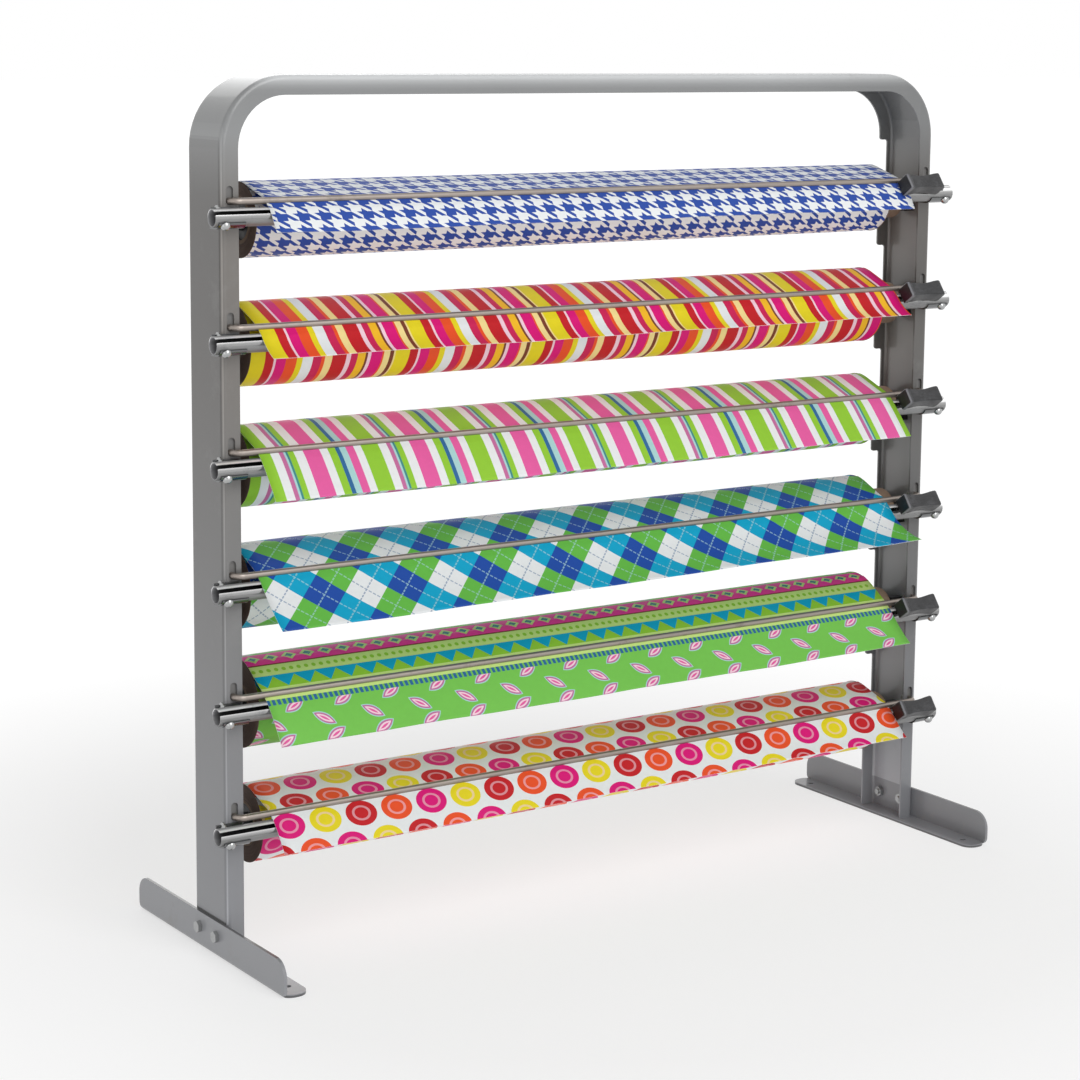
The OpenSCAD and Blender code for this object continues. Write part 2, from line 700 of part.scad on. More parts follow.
frame_channel();
foot_left();
foot_right();
foot_bolts();
foot_nuts();
roll_cradles();
track_brackets();
bracket_rivets();
stop_screws();
stop_nuts();
for (n = levels) {
  paper_roll(n);
  roll_core(n);
  roll_plugs(n);
  paper_sheet(n);
  cutter_track(n);
  hold_bar(n);
  cutter_body(n);
  cutter_blade(n);
}
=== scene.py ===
"""Looks of a six-roll gift wrap rack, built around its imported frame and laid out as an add-on."""
import math
from functools import partialmethod

import bmesh
import bpy
from bpy.props import FloatProperty, FloatVectorProperty, PointerProperty
from mathutils import Matrix, Vector


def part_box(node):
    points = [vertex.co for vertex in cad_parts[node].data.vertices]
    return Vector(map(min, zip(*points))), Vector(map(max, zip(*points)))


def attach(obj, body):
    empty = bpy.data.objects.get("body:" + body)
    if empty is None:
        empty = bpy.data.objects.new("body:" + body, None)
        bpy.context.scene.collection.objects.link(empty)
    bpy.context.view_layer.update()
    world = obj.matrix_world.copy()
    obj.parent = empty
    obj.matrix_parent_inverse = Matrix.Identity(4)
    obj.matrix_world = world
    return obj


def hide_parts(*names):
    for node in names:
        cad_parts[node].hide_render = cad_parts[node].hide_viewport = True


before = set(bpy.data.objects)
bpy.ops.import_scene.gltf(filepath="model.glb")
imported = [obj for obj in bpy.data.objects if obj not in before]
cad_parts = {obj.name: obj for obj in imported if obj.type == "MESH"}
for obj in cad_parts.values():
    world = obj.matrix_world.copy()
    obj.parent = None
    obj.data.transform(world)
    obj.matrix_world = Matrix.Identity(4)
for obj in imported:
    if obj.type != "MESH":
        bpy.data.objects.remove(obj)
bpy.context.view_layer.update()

bl_info = {
    "name": "Gift Wrap Rack",
    "version": (1, 0, 0),
    "blender": (4, 5, 0),
    "location": "3D View > Sidebar > Gift Wrap Rack",
    "description": "Papers, cutters, finishes and studio of a six-roll gift wrap rack",
    "category": "Object",
}

LEVELS = range(1, 7)
MM = 0.001


def middle(node):
    """Middle of a CAD node's box."""
    low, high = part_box(node)
    return (low + high) / 2


def half_size(node):
    low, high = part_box(node)
    return (high - low) / 2


# Places on the CAD model. The lowest level stands for all six, which lie a pitch apart.
PITCH = (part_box("cutter_track_1")[0].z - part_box("cutter_track_6")[0].z) / 5
TRACK, TRACK_R = middle("cutter_track_6"), half_size("cutter_track_6").y
TRACK_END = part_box("cutter_track_6")[1].x
ROLL = middle("paper_roll_6")
FLANGE_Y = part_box("track_brackets")[1].y
POST_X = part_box("frame_channel")[1].x
FOOT_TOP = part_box("foot_left")[1].z
STOP_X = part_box("stop_nuts")[1].x - 3.2 * MM

# Angles about the tracks, from straight up to the front: slot, far end of the stop screws, start of the loose flaps
SLOT_TILT, SCREW_TILT, FLAP_TILT = math.radians(54), math.radians(-46), math.radians(64.5)

# Repeats of the houndstooth and side of the argyle's diamonds
CHECK_WIDE, CHECK_HIGH = 22.4 * MM, 15 * MM
DIAMOND = 45 * MM


def linear(*rgb):
    """A colour written as 0 to 255 screen values, in the linear values that shaders use."""
    share = [value / 255 for value in rgb]
    return tuple(s / 12.92 if s <= 0.04045 else ((s + 0.055) / 1.055) ** 2.4 for s in share)


def colour(name, description, *rgb):
    return FloatVectorProperty(name=name, description=description, subtype="COLOR", size=3, min=0, max=1,
                               default=linear(*rgb))


def length(name, description, millimetres):
    return FloatProperty(name=name, description=description, subtype="DISTANCE", unit="LENGTH",
                         default=millimetres * MM)


def per_level(name, description, values, unit="NONE"):
    return FloatVectorProperty(name=name, description=description, size=6, unit=unit, default=values)


class RackSizes(bpy.types.PropertyGroup):
    """Sizes of the papers, bars and cutters."""
    paper_thickness: length("Paper thickness", "Thickness of the loose paper", 0.3)
    paper_standoff: length("Paper stand-off", "Distance of the loose paper's outer side from roll, bar and track", 0.6)
    bar_radius: length("Bar radius", "Radius of the hold-down bars", 3.2)
    flap_length: per_level("Flap length", "Length of each loose end past the track, from the top level down",
                           [v * MM for v in (21, 26, 40, 52, 40, 29)], "LENGTH")
    flap_slope: per_level("Flap slope", "Slope of each loose end where it leaves the track",
                          [math.radians(v) for v in (54, 51, 47, 49, 47, 47)], "ROTATION")
    flap_droop: per_level("Flap droop", "Change of slope along each loose end",
                          [math.radians(v) for v in (9, -27, 9, -22, 9, 9)], "ROTATION")
    left_lift: per_level("Left lift", "Rise of each loose end's left corner",
                         [v * MM for v in (0, 0, 0, -4, 0, 0)], "LENGTH")
    right_lift: per_level("Right lift", "Rise of each loose end's right corner",
                          [v * MM for v in (0, 0, 3, 11, 6, 6)], "LENGTH")
    flap_wave: length("Flap wave", "Height of the ripple along the free edges", 0.7)
    roll_edge: length("Roll edge", "Rounding of the wound paper's edges", 0.5)
    cutter_length: length("Cutter length", "Length of the cutter body", 48)
    cutter_side: length("Cutter side", "Side of the cutter body's square section", 17.4)
    cutter_standoff: length("Cutter stand-off", "Distance from a track's axis to the cutter body", 10.3)
    cutter_edge: length("Cutter edge", "Radius of the cutter body's edges", 1.6)
    cutter_end: length("Cutter end", "Radius of the cutter body's end corners", 4)
    cutter_waist: FloatProperty(name="Cutter waist", description="Share by which the cutter's saddle is slimmer",
                                subtype="FACTOR", default=0.2, min=0, max=0.3)
    neck_length: length("Neck length", "Length of the neck in the track's slot", 18)
    neck_thickness: length("Neck thickness", "Thickness of the neck", 2.4)
    runner_length: length("Runner length", "Length of the runner inside the track", 46)
    runner_radius: length("Runner radius", "Radius of the runner", 7)
    runner_edge: length("Runner edge", "Rounding of the runner's ends", 0.8)


class RackColours(bpy.types.PropertyGroup):
    """Colours of the finishes and prints."""
    frame_paint: colour("Frame paint", "Satin grey of channel and feet", 116, 115, 114)
    chrome: colour("Chrome", "Plating of tracks and brackets", 118, 119, 120)
    zinc: colour("Zinc", "Plating of bolts, nuts and rivets", 172, 173, 173)
    bar_steel: colour("Bar steel", "Satin steel of the hold-down bars", 154, 145, 138)
    blade_steel: colour("Blade steel", "Steel of the blades", 205, 207, 210)
    cutter_plastic: colour("Cutter plastic", "Charcoal of the cutter bodies", 40, 40, 42)
    black_nylon: colour("Black nylon", "Plugs and cradles", 34, 34, 35)
    core_board: colour("Core board", "Cardboard of the cores", 139, 117, 99)
    # The wound paper's end faces: a brown kraft tone, darkened as painted shade.
    winding: colour("Winding edge", "End faces of the wound paper", 104, 84, 73)
    paper_white: colour("Paper white", "Unprinted paper", 236, 239, 240)
    check_blue: colour("Check blue", "Blue of the houndstooth", 42, 76, 162)
    yellow: colour("Yellow", "Yellow stripes and dots", 236, 218, 34)
    amber: colour("Amber", "Deeper yellow stripes", 250, 192, 40)
    cream: colour("Cream", "Cream stripes", 250, 226, 152)
    orange: colour("Orange", "Orange stripes and dots", 240, 84, 38)
    red: colour("Red", "Red stripes and dots", 200, 30, 38)
    crimson: colour("Crimson", "Crimson stripes", 208, 34, 88)
    magenta: colour("Magenta", "Magenta stripes, bands and dots", 224, 16, 122)
    blush: colour("Blush", "Palest pink stripes", 250, 214, 226)
    brown: colour("Brown", "Thin brown stripes", 122, 60, 40)
    lime: colour("Lime", "Lime stripes", 148, 204, 56)
    pink: colour("Pink", "Pink stripes and leaves", 232, 96, 164)
    mauve: colour("Mauve", "Thin mauve stripes", 198, 110, 160)
    aqua: colour("Aqua", "Pale aqua stripes", 172, 216, 216)
    teal: colour("Teal", "Thin teal stripes", 58, 138, 140)
    steel_blue: colour("Steel blue", "Thin blue stripes", 48, 106, 156)
    royal: colour("Royal blue", "Royal blue of the argyle", 28, 76, 166)
    turquoise: colour("Turquoise", "Turquoise of argyle and zigzag", 4, 166, 206)
    leaf: colour("Leaf green", "Green of the argyle", 102, 188, 72)
    meadow: colour("Meadow green", "Ground of the banded print", 120, 198, 82)
    # Moss and fuchsia are lighter than the printed colours as painted light, so the banded border reads bright on the
    # shaded roll tops.
    moss: colour("Moss", "Yellow-green border of the banded print", 206, 234, 138)
    fuchsia: colour("Fuchsia", "Lozenge border of the banded print", 252, 64, 160)


# Shader helpers

class Field:
    """A shader value that adds Math nodes to its tree when it is used in a sum."""

    def __init__(self, tree, source):
        self.tree = tree
        self.source = source

    def sum(self, operation, *others):
        node = self.tree.nodes.new("ShaderNodeMath")
        node.operation = operation
        for socket, value in zip(node.inputs, (self, *others)):
            if isinstance(value, Field):
                self.tree.links.new(value.source, socket)
            else:
                socket.default_value = value
        return Field(self.tree, node.outputs[0])

    __add__ = partialmethod(sum, "ADD")
    __sub__ = partialmethod(sum, "SUBTRACT")
    __mul__ = partialmethod(sum, "MULTIPLY")
    __truediv__ = partialmethod(sum, "DIVIDE")
    below = partialmethod(sum, "LESS_THAN")
    above = partialmethod(sum, "GREATER_THAN")
    either = partialmethod(sum, "MAXIMUM")
    least = partialmethod(sum, "MINIMUM")
    wrapped = partialmethod(sum, "FLOORED_MODULO")
    fraction = partialmethod(sum, "FRACT")
    whole = partialmethod(sum, "FLOOR")
    size = partialmethod(sum, "ABSOLUTE")

    def held(self):
        """The value kept between 0 and 1."""
        return self.either(0.0).least(1.0)

    def centred(self, span):
        """The value wrapped to run from minus half of span to plus half."""
        return (self + span / 2).wrapped(span) - span / 2

    def length_with(self, other):
        return (self * self + other * other).sum("SQRT")


def start_material(name, metallic=0.0, roughness=0.5):
    material = bpy.data.materials.new(name)
    material.use_nodes = True
    tree = material.node_tree
    tree.nodes.clear()
    output = tree.nodes.new("ShaderNodeOutputMaterial")
    shader = tree.nodes.new("ShaderNodeBsdfPrincipled")
    shader.inputs["Metallic"].default_value = metallic
    shader.inputs["Roughness"].default_value = roughness
    tree.links.new(shader.outputs[0], output.inputs[0])
    return material, tree, shader


def feed(value, socket):
    """Links a Field or socket to an input, or writes a number or colour on it."""
    if isinstance(value, Field):
        value = value.source
    if isinstance(value, bpy.types.NodeSocket):
        socket.id_data.links.new(value, socket)
    elif socket.type == "RGBA":
        socket.default_value = (*value[:3], 1)
    else:
        socket.default_value = value


def mixed(share, first, second):
    """First where a Field is 0, second where it is 1."""
    node = share.tree.nodes.new("ShaderNodeMix")
    node.data_type = "RGBA"
    feed(share, node.inputs[0])
    feed(first, node.inputs[6])
    feed(second, node.inputs[7])
    return node.outputs[2]


def ramp(value, steps, interpolation="LINEAR"):
    """A colour looked up by a Field: steps are pairs of a value from 0 to 1 and a colour."""
    node = value.tree.nodes.new("ShaderNodeValToRGB")
    elements = node.color_ramp.elements
    node.color_ramp.interpolation = interpolation
    while len(elements) < len(steps):
        elements.new(1.0)
    for element, (place, tint) in zip(elements, steps):
        element.position = place
        element.color = (*tint, 1)
    feed(value, node.inputs[0])
    return node.outputs[0]


def object_place(tree):
    """Object coordinates as a vector socket and as three Fields."""
    place = tree.nodes.new("ShaderNodeTexCoord").outputs["Object"]
    split = tree.nodes.new("ShaderNodeSeparateXYZ")
    feed(place, split.inputs[0])
    return place, [Field(tree, axis) for axis in split.outputs]


def stretched(tree, place, scale):
    node = tree.nodes.new("ShaderNodeMapping")
    node.inputs["Scale"].default_value = scale
    feed(place, node.inputs["Vector"])
    return node.outputs[0]


def noise(tree, place, scale, detail=4.0, roughness=0.6):
    node = tree.nodes.new("ShaderNodeTexNoise")
    node.inputs["Detail"].default_value = detail
    node.inputs["Roughness"].default_value = roughness
    feed(place, node.inputs["Vector"])
    feed(scale, node.inputs["Scale"])
    return Field(tree, node.outputs[0])


def bump(shader, height, strength, distance):
    node = height.tree.nodes.new("ShaderNodeBump")
    node.inputs["Strength"].default_value = strength
    node.inputs["Distance"].default_value = distance
    feed(height, node.inputs["Height"])
    feed(node.outputs[0], shader.inputs["Normal"])


def start_group(name, strength, outputs):
    """A node group that takes a place, a scale and a strength, and puts out values."""
    group = bpy.data.node_groups.new(name, "ShaderNodeTree")
    group.interface.new_socket("Place", in_out="INPUT", socket_type="NodeSocketVector")
    for label in ("Scale", strength):
        group.interface.new_socket(label, in_out="INPUT", socket_type="NodeSocketFloat")
    for label in outputs:
        group.interface.new_socket(label, in_out="OUTPUT", socket_type="NodeSocketFloat")
    return group, group.nodes.new("NodeGroupInput"), group.nodes.new("NodeGroupOutput")


def use_group(tree, group, *values):
    node = tree.nodes.new("ShaderNodeGroup")
    node.node_tree = group
    for value, socket in zip(values, node.inputs):
        feed(value, socket)
    return [Field(tree, output) for output in node.outputs]


def grain(tree, place, scale, amount):
    """Fine grain of a surface: a shade about 1 and a height."""
    group = bpy.data.node_groups.get("Surface Grain")
    if group is None:
        group, start, end = start_group("Surface Grain", "Amount", ["Shade", "Height"])
        height = noise(group, start.outputs["Place"], start.outputs["Scale"])
        shade = (height - 0.5) * Field(group, start.outputs["Amount"]) * 2.0 + 1.0
        feed(shade, end.inputs["Shade"])
        feed(height, end.inputs["Height"])
    return use_group(tree, group, place, scale, amount)


def handling_marks(tree, place, scale, cover):
    """Scattered marks of handling: a mask that is 0 on clean surface."""
    group = bpy.data.node_groups.get("Handling Marks")
    if group is None:
        group, start, end = start_group("Handling Marks", "Cover", ["Mask"])
        size = Field(group, start.outputs["Scale"])
        patches = noise(group, start.outputs["Place"], size, 3.0)
        flecks = noise(group, start.outputs["Place"], size * 9.0, 5.0, 0.7)
        edge = Field(group, start.outputs["Cover"]) * -0.35 + 0.72
        mask = ((patches * 0.65 + flecks * 0.35 - edge) * 9.0).held()
        feed(mask, end.inputs["Mask"])
    return use_group(tree, group, place, scale, cover)[0]


def shaded(tint, shade):
    """A colour multiplied by a Field."""
    node = shade.tree.nodes.new("ShaderNodeVectorMath")
    node.operation = "SCALE"
    feed(tint, node.inputs[0])
    feed(shade, node.inputs["Scale"])
    return node.outputs[0]


# Finishes

def painted_light_by_height(z, tint):
    """Paint colour by height with painted light: cooler and lighter near the floor as painted fill light, warmer and
    darker in the middle as painted shade, lighter on the top bar as painted top light.
    """
    cool = [tint[0] * 1.16, tint[1] * 1.2, tint[2] * 1.3]
    warm = [tint[0] * 0.92, tint[1] * 0.87, tint[2] * 0.82]
    pale = [tint[0] * 1.25, tint[1] * 1.3, tint[2] * 1.34]
    # Painted highlight: the last two steps lighten the top bar's rounded upper edge.
    steps = [(0.03, cool, 1.35), (0.12, cool, 1.1), (0.4, tint, 1.0), (0.55, warm, 1.0), (0.7, warm, 1.0),
             (0.77, pale, 1.1), (0.808, pale, 1.0), (0.815, pale, 1.5), (0.8205, pale, 2.9)]
    return ramp(z, [(height, [c * share for c in shades]) for height, shades, share in steps])


def painted_light_by_place(x, y, z):
    """Painted light and shade on the paint: painted shade on the left web's outside, more towards the top, painted
    light on the insides of the webs, and painted shade on the right post, most on its front flange.
    """
    web = y.size().below(-FLANGE_Y - 1.0 * MM) * (z * -14.0 + 11.0).held() * z.above(FOOT_TOP)
    outside = x.below(0.5 * MM - POST_X) * web * (((z - 0.15) * 2.2).held() * 0.45 + 0.1)
    inside = x.size().below(POST_X - 1.0 * MM) * x.size().above(POST_X - 4.0 * MM) * web
    right = ((x - 0.2) * 5.0).held() * ((z - 0.05) * 3.2).held()
    front = y.below(FLANGE_Y + 0.5 * MM) * x.above(POST_X - 19 * MM) * (z * -5.0 + 4.2).held()
    return outside * -1.0 + inside * 0.6 - right * 0.24 - front * 0.16 + 1.0


def paint_finish(tint):
    """Satin paint with orange peel, scuffs near the floor, a dark band along the floor line and a painted contact
    shadow in the foot seams.
    """
    material, tree, shader = start_material("satin_frame_paint")
    place, (x, y, z) = object_place(tree)
    shade, _ = grain(tree, place, 5.0, 0.07)
    _, peel = grain(tree, place, 620.0, 0.0)
    marks = handling_marks(tree, place, 16.0, 0.42)
    low = (z * -9.0 + 1.1).held()
    scuffs = marks * (low * 0.5 + 0.15)
    worn = [min(1, c * 1.6) for c in tint]
    base = mixed(scuffs, shaded(painted_light_by_height(z, tint), shade * painted_light_by_place(x, y, z)), worn)
    # A dark band along the floor line, and a painted contact shadow on the webs just above the feet.
    floor_line = (z * -2000.0 + 4.8).held()
    seam = x.size().above(POST_X - 0.5 * MM) * z.above(FOOT_TOP - 0.1 * MM) * z.below(FOOT_TOP + 2.0 * MM)
    floor_band_and_seam_shadow = floor_line.either(seam) * 0.75
    feed(mixed(floor_band_and_seam_shadow, base, [c * 0.2 for c in tint]), shader.inputs["Base Color"])
    feed(scuffs * 0.25 + peel * 0.1 + 0.3, shader.inputs["Roughness"])
    shader.inputs["Coat Weight"].default_value = 0.4
    shader.inputs["Coat Roughness"].default_value = 0.1
    bump(shader, peel, 0.12, 0.0004)
    return material


def chrome_finish(tint):
    """Plating with faint draw lines and finger marks; on the tubes a painted reflection, bright at the slot's edges
    and dull underneath, and a bore painted dark as shade, lit grey towards the tube ends as painted light.
    """
    material, tree, shader = start_material("bright_chrome")
    place, (x, y, z) = object_place(tree)
    lines = noise(tree, stretched(tree, place, (2.0, 900.0, 900.0)), 1.0, 2.0)
    marks = handling_marks(tree, place, 24.0, 0.5)
    front, up = (y - TRACK.y) * -1.0, (z - TRACK.z).centred(PITCH)
    radius = front.length_with(up)
    bore = radius.below(TRACK_R - 0.6 * MM)
    tube = radius.below(TRACK_R + 0.02 * MM)
    # Painted reflection round a tube: its brightness from the top at 0 to the underside at 1
    painted_reflection_tones = ((0.0, 0.3), (0.1, 0.45), (0.16, 0.85), (0.26, 0.95), (0.36, 0.8), (0.44, 0.4), (0.54, 0.26), (1.0, 0.14))
    turn = front.sum("ARCTAN2", up).size() / math.pi
    painted_reflection_bands = ramp(turn, [(spot, (tone,) * 3) for spot, tone in painted_reflection_tones])
    # Less metallic on the top and the underside, so the painted reflection's tones show there as colour.
    satin = turn.below(0.29).either(turn.above(0.56)) * tube * 0.65
    shell = mixed(tube, tint, painted_reflection_bands)
    shell = mixed(marks * 0.3, shell, [c * 0.5 for c in tint])
    # Painted shade in the bore: near black deep inside, turning to a lit grey within 11 mm of the tube ends as painted
    # light.
    mouth = ((x.size() - TRACK_END) / (11 * MM) + 1.0).held()
    painted_bore_shade = mixed(mouth * mouth, (0.014, 0.014, 0.015), (0.34, 0.34, 0.35))
    feed(mixed(bore, shell, painted_bore_shade), shader.inputs["Base Color"])
    feed(bore.either(satin) * -1.0 + 1.0, shader.inputs["Metallic"])
    feed(lines * 0.1 + marks * 0.12 + bore * 0.6 + satin * 0.3 + 0.1, shader.inputs["Roughness"])
    bump(shader, lines, 0.05, 0.0002)
    return material


def steel_finish(name, tint, roughness, stretch, dark=0.6):
    """Brushed metal with lines along one axis and duller patches."""
    material, tree, shader = start_material(name, metallic=1.0)
    place, _ = object_place(tree)
    lines = noise(tree, stretched(tree, place, stretch), 1.0, 3.0)
    shade, _ = grain(tree, place, 9.0, 0.1)
    marks = handling_marks(tree, place, 30.0, 0.45)
    base = shaded(tint, shade * (lines * 0.3 + 0.85))
    feed(mixed(marks * 0.5, base, [c * dark for c in tint]), shader.inputs["Base Color"])
    feed(lines * 0.16 + marks * 0.14 + roughness, shader.inputs["Roughness"])
    bump(shader, lines, 0.08, 0.0002)
    return material


def bar_finish(tint, paint):
    """Drawn steel rod, with painted keeper plates behind the posts' front flanges."""
    material = steel_finish("drawn_steel", tint, 0.34, (6.0, 700.0, 700.0))
    tree = material.node_tree
    shader = tree.nodes["Principled BSDF"]
    _, (_, y, _) = object_place(tree)
    keeper = y.above(FLANGE_Y + 2 * MM)
    steel = shader.inputs["Base Color"].links[0].from_socket
    feed(mixed(keeper, steel, paint), shader.inputs["Base Color"])
    feed(keeper * -1.0 + 1.0, shader.inputs["Metallic"])
    return material


def plastic_finish(name, tint, roughness, fineness):
    """Moulded plastic with a fine grain, rubbed lighter in patches."""
    material, tree, shader = start_material(name)
    place, _ = object_place(tree)
    shade, height = grain(tree, place, fineness, 0.35)
    marks = handling_marks(tree, place, 55.0, 0.62)
    rubbed = [min(1, c * 2.0 + 0.012) for c in tint]
    feed(mixed(marks * 0.6, shaded(tint, shade), rubbed), shader.inputs["Base Color"])
    feed(height * 0.2 + roughness, shader.inputs["Roughness"])
    bump(shader, height, 0.25, 0.0004)
    return material


def cutter_finish(tint):
    """Charcoal plastic, with painted shade on the leading end face and a painted highlight round its rim."""
    material = plastic_finish("charcoal_plastic", tint, 0.34, 190.0)
    tree = material.node_tree
    shader = tree.nodes["Principled BSDF"]
    tone = tree.nodes.new("ShaderNodeAttribute")
    tone.attribute_name = "tone"
    plain = shader.inputs["Base Color"].links[0].from_socket
    lit = Field(tree, tone.outputs["Fac"])
    place, _ = object_place(tree)
    mottle = noise(tree, stretched(tree, place, (120.0, 330.0, 330.0)), 1.0, 5.0, 0.7)
    # The tone attribute paints light: shade on the leading end face and a highlight round its rim.
    body = shaded(plain, (lit * 1.9 + 0.33) * (mottle * 2.4 - 0.2).either(0.25))
    rim = (lit - 0.5).held() * 1.6
    feed(mixed(rim, body, [c * 9 for c in tint]), shader.inputs["Base Color"])
    return material


def around_roll(y, z):
    """Distance from a roll's axis and angle about it, in turns, on every level."""
    across = y - ROLL.y
    up = (z - ROLL.z).centred(PITCH)
    return across.length_with(up), across.sum("ARCTAN2", up) / (2 * math.pi)


def board_finish(tint):
    """Spiral-wound cardboard: a seam that climbs round the tube, and fibres."""
    material, tree, shader = start_material("wound_board", roughness=0.85)
    place, (x, y, z) = object_place(tree)
    _, turns = around_roll(y, z)
    seam = (x / 0.07 + turns).fraction().below(0.022)
    fibres = noise(tree, stretched(tree, place, (90.0, 900.0, 900.0)), 1.0, 5.0, 0.7)
    shade, height = grain(tree, place, 240.0, 0.16)
    base = shaded(tint, shade * (fibres * 0.5 + 0.75))
    feed(mixed(seam * 0.55, base, [c * 0.5 for c in tint]), shader.inputs["Base Color"])
    bump(shader, height + fibres - seam * 2.0, 0.3, 0.0003)
    return material


def winding_finish(tint):
    """Edges of the wound paper: fine rings about the roll's axis, on a brown darkened as painted shade."""
    material, tree, shader = start_material("winding_edge", roughness=0.8)
    place, (_, y, z) = object_place(tree)
    radius, _ = around_roll(y, z)
    wobble = noise(tree, place, 60.0, 2.0) * 0.0012
    rings = noise(tree, (radius + wobble) * 1400.0, 1.0, 3.0, 0.75)
    shade, _ = grain(tree, place, 90.0, 0.14)
    feed(shaded(tint, shade * (rings * 1.1 + 0.45)), shader.inputs["Base Color"])
    bump(shader, rings, 0.35, 0.0004)
    return material


# Prints on the papers. Each takes the paper's u along the roll and v along its length, in metres.

def stripes(u, span, start, bands):
    """Stripes that run along the paper: bands are pairs of a place in the span and a colour."""
    last = bands[-1][0]
    steps = [(place / last, tint) for place, tint in bands[:-1]]
    return ramp(((u - start) / span).fraction(), steps, "CONSTANT")


def houndstooth_print(u, v, c):
    """Upright and level bars that change places along a twill."""
    across, along = u / CHECK_WIDE, v / CHECK_HIGH
    twill = ((across - along) * 2.0).fraction().below(0.5)
    pillar = across.fraction().below(0.5)
    beam = along.fraction().below(0.5)
    dark = twill * pillar + (twill * -1.0 + 1.0) * beam
    return mixed(dark, c.paper_white, c.check_blue)


def warm_stripes_print(u, v, c):
    return stripes(u, 155 * MM, -378.5 * MM, [
        (0, c.red), (35, c.blush), (46, c.magenta), (85, c.orange), (132, c.yellow), (157, c.paper_white),
        (200, c.crimson), (235, c.orange), (250, c.cream), (282, c.red), (343, c.blush), (362, c.crimson),
        (392, c.amber), (426, c.brown), (435, c.blush), (450, c.magenta), (498, c.orange), (506, c.cream),
        (532, c.brown), (549, c.cream), (557, c.yellow), (620, c.red)])


def cool_stripes_print(u, v, c):
    return stripes(u, 114 * MM, -288 * MM, [
        (0, c.lime), (74, c.paper_white), (109, c.mauve), (127, c.aqua), (136, c.teal), (145, c.lime),
        (169, c.paper_white), (208, c.pink), (279, c.paper_white), (312, c.lime), (344, c.steel_blue),
        (362, c.aqua), (388, c.pink), (422, c.paper_white), (455, c.lime)])


def argyle_print(u, v, c):
    """Diamonds in four colours with dashed lines through their middles."""
    rise = (u + v) / DIAMOND
    fall = (u - v) / DIAMOND
    odd_rise = rise.whole().wrapped(2.0)
    odd_fall = fall.whole().wrapped(2.0)
    blues = mixed(odd_rise, c.royal, c.turquoise)
    greens = mixed(odd_rise, c.leaf, c.paper_white)
    cells = mixed(odd_fall, blues, greens)
    pale = odd_rise * odd_fall
    line_rise = (rise.fraction() - 0.5).size().below(0.022) * (fall * 7.0).fraction().below(0.72)
    line_fall = (fall.fraction() - 0.5).size().below(0.022) * (rise * 7.0).fraction().below(0.72)
    thread = mixed(pale, c.aqua, c.steel_blue)
    return mixed(line_rise.either(line_fall) * 0.6, cells, thread)


def banded_print(u, v, c):
    """Borders of lozenges, dots, zigzag and dashes, then a field of scattered leaves, in millimetres."""
    span = math.pi * 87 / 2  # half of the roll's girth
    t = (v / MM + 7.5).wrapped(span)
    x = u / MM
    ground = c.meadow
    for shift, tilt in ((0.0, 0.6), (0.5, -0.45)):
        lane = (t - 84.0) / 34.0 + shift
        across = (x / 52.0 + lane.whole() * 0.37 + shift).fraction() * 52.0 - 26.0
        along = lane.fraction() * 34.0 - 17.0
        a = across * math.cos(tilt) + along * math.sin(tilt)
        b = across * -math.sin(tilt) + along * math.cos(tilt)
        form = a * a / 170.0 + b.size() / 5.6
        for edge, tint in ((1.0, c.aqua), (0.8, c.mauve), (0.5, c.blush), (0.2, c.pink)):
            ground = mixed(form.below(edge), ground, tint)
    lozenge = ((x / 19.5).fraction() - 0.5).size() * 19.5 + (t - 19.0).size() * 1.1
    # Painted light: the border's fuchsia and moss are lightened for the shaded roll tops.
    border = mixed(lozenge.below(8.2), c.fuchsia, c.moss)
    border = mixed(lozenge.below(4.6), border, c.teal)
    dot = ((x / 8.0).fraction() - 0.5) * 8.0
    dots = mixed(dot.length_with(t - 38.0).below(2.2), c.moss, c.lime)
    peak = ((x / 22.5).fraction() - 0.5).size() * 27.0
    zigzag = mixed((t - 46.0).below(peak), c.lime, c.turquoise)
    dashes = mixed((x / 5.5).fraction().below(0.62), c.meadow, c.steel_blue)
    for low, high, tint in ((8.0, 29.6, border), (29.6, 31.2, c.brown), (31.2, 44.5, dots), (44.5, 60.0, zigzag),
                            (60.0, 75.0, c.moss), (75.0, 81.0, dashes)):
        ground = mixed(t.above(low) * t.below(high), ground, tint)
    return ground


def dotted_print(u, v, c):
    """Ring dots in four colours on staggered rows, in millimetres."""
    row_span, span = math.pi * 76 / 8, 39.0  # eight rows round the roll
    x, y = u / MM, v / MM
    row = (y / row_span).whole()
    place = x / span + row * 0.5
    across = place.fraction() * span - span / 2
    along = (y / row_span).fraction() * row_span - row_span / 2
    radius = across.length_with(along * 1.25)
    turn = (place.whole() * 3.0 + row * 2.0).wrapped(4.0)
    tint = mixed(turn.above(0.5), c.yellow, c.magenta)
    tint = mixed(turn.above(1.5), tint, c.orange)
    tint = mixed(turn.above(2.5), tint, c.red)
    ring = mixed((radius - 8.6).size().below(1.3) * 0.45, tint, c.blush)
    return mixed(radius.below(16.6), c.paper_white, ring)


PRINTS = (houndstooth_print, warm_stripes_print, cool_stripes_print, argyle_print, banded_print, dotted_print)


